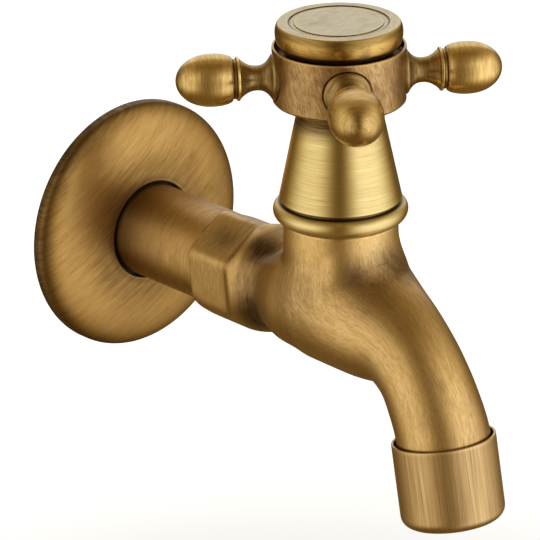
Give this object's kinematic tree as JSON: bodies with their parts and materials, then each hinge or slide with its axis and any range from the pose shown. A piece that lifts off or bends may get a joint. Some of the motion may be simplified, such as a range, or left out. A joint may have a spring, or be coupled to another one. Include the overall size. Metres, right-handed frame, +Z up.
{
  "type": "wall-mounted tap",
  "caption": "Wall-mounted cold tap in antique brass: domed wall flange, straight inlet, swept spout with a straight nozzle, bell bonnet and a cross handle with egg-shaped knobs.",
  "frame": {"origin": "where the inlet axis meets the wall, on the inlet thread's axis", "axes": "+Y into the wall along the inlet thread, +Z up along the spindle, so the tap projects towards -Y and +X is to its right seen from the front"},
  "size_m": [0.0638, 0.1414, 0.1147],
  "materials": {
    "antique_brass": "brushed antique",
    "pale_brass": "brushed",
    "hub_brass": "brushed antique",
    "cap_brass": "fine brushed",
    "raw_brass": "machined",
    "black_rubber": "matt",
    "valve_ceramic": "lapped",
    "stainless": "plain",
    "pale_plastic": "moulded"
  },
  "bodies": {
    "tap": {"tap_body": "antique_brass", "cover_sleeve": "antique_brass", "nozzle_shell": "pale_brass", "aerator_washer": "black_rubber", "aerator_cage": "pale_plastic", "aerator_screen": "stainless", "bonnet_ring": "pale_brass", "bonnet_bell": "pale_brass", "valve_housing": "raw_brass", "housing_seal": "black_rubber", "seat_seal": "black_rubber", "fixed_disc": "valve_ceramic"},
    "flange": {"wall_flange": "antique_brass", "flange_grip_ring": "black_rubber"},
    "handle": {"moving_disc": "valve_ceramic", "spindle": "raw_brass", "thrust_washer": "pale_plastic", "lower_spindle_seal": "black_rubber", "upper_spindle_seal": "black_rubber", "spindle_clip": "stainless", "handle_hub": "hub_brass", "arm_front": "antique_brass", "arm_right": "antique_brass", "arm_back": "antique_brass", "arm_left": "antique_brass", "handle_screw": "stainless", "index_cap": "cap_brass", "index_plate": "cap_brass"}
  },
  "joints": [
    {"name": "handle_turn", "type": "hinge", "parent": "tap", "child": "handle", "pos_m": [0, -0.07735, 0], "axis": [0, 0, 1], "range_deg": [0, 90]},
    {"name": "flange_slide", "type": "slide", "parent": "tap", "child": "flange", "axis": [0, -1, 0], "range_m": [0, 0.025]}
  ]
}
